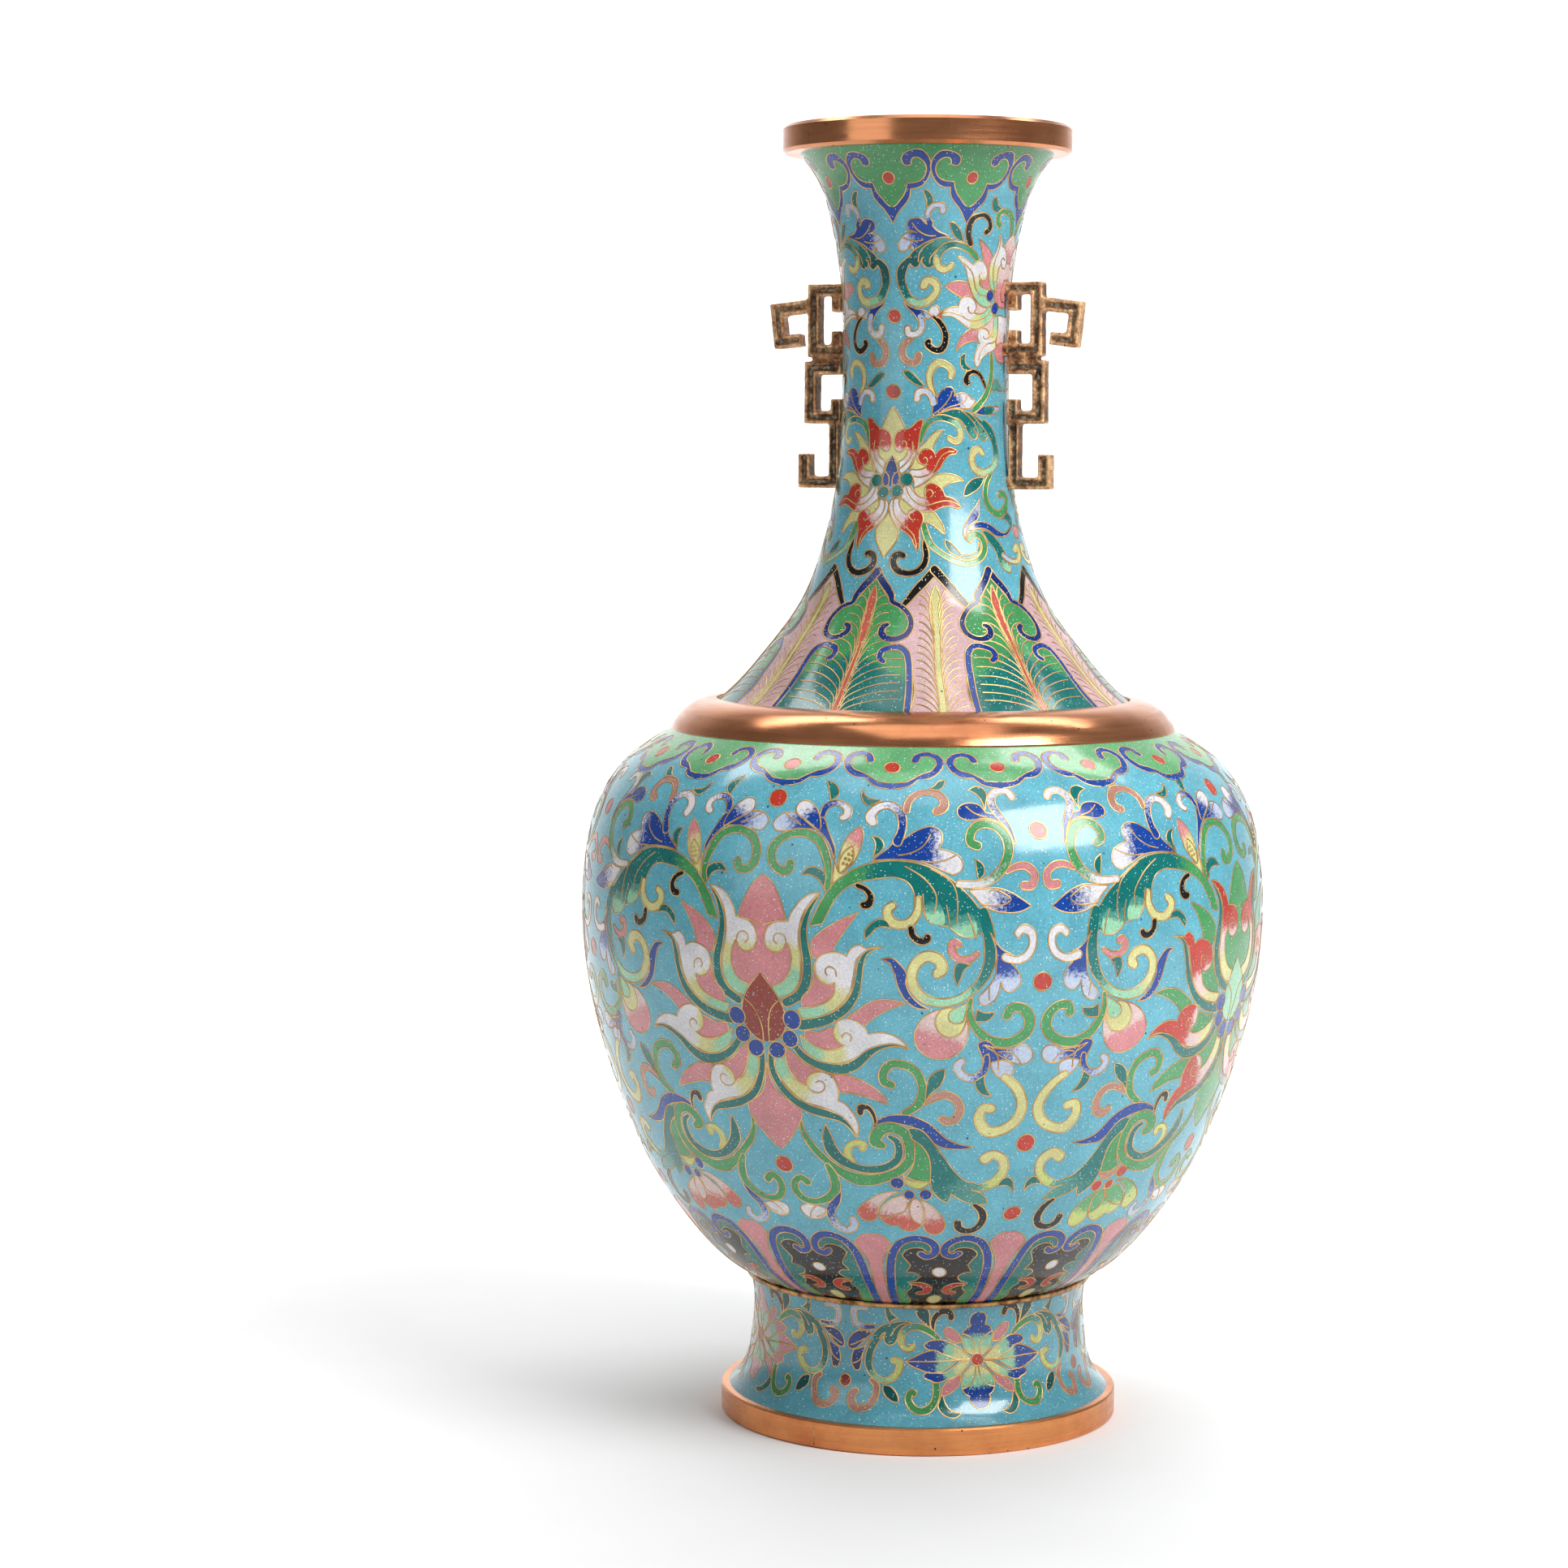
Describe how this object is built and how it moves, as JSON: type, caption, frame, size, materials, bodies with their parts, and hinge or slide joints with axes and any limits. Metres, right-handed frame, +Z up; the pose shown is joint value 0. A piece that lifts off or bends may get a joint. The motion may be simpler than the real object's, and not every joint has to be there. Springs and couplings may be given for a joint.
{
  "type": "cloisonne vase",
  "caption": "Pear-shaped cloisonne enamel vase with a tall waisted neck, flared mouth, fret-scroll side handles and a waisted foot.",
  "frame": {"origin": "centre of the foot's underside, on the surface that the vase stands on", "axes": "+Z up along the vase's axis, handles along X"},
  "size_m": [0.1272, 0.1272, 0.24],
  "materials": {
    "gilt_copper": "satin, rubbed gilding with brown patches",
    "gilt_wire": "polished flush with the enamel",
    "bare_copper": "hammered sheet, dull",
    "handle_bronze": "cast, dark patina in the channels, gilding on the edges",
    "enamel": "polished glassy enamel, turquoise ground with coloured cells",
    "lining_enamel": "plain blue counter enamel, slightly pitted"
  },
  "bodies": {
    "root": {"mouth_rim": "gilt_copper", "neck_shell": "bare_copper", "neck_enamel": "enamel", "neck_lining": "lining_enamel", "shoulder_ring": "gilt_copper", "upper_body_shell": "bare_copper", "lower_body_shell": "bare_copper", "body_enamel": "enamel", "body_lining": "lining_enamel", "base_enamel": "lining_enamel", "foot_joint_ring": "gilt_wire", "foot_shell": "bare_copper", "foot_enamel": "enamel", "foot_lining": "lining_enamel", "foot_rim": "gilt_copper", "handle_left": "handle_bronze", "handle_right": "handle_bronze"}
  },
  "joints": []
}
